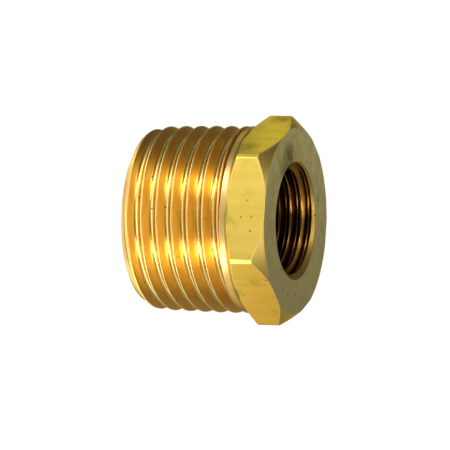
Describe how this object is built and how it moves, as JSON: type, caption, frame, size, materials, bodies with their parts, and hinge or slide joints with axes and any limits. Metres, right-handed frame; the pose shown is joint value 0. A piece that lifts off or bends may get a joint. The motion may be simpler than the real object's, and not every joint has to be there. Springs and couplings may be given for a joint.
{
  "type": "hex reducing bushing",
  "caption": "Brass hex bushing: outside pipe thread and plain collar below a chamfered hexagon, with a smaller threaded bore through it.",
  "frame": {"origin": "centre of the end face of the outside thread, on the bushing's own axis", "axes": "+Z along the axis, from the outside thread to the hexagon; +X through a corner of the hexagon, so that -Y looks square at a flat"},
  "size_m": [0.0236, 0.021, 0.0173],
  "materials": {
    "brass": "turned brass, left bright, with a duller sawn-and-faced hexagon end"
  },
  "bodies": {
    "root": {"hex_bushing": "brass"}
  },
  "joints": []
}
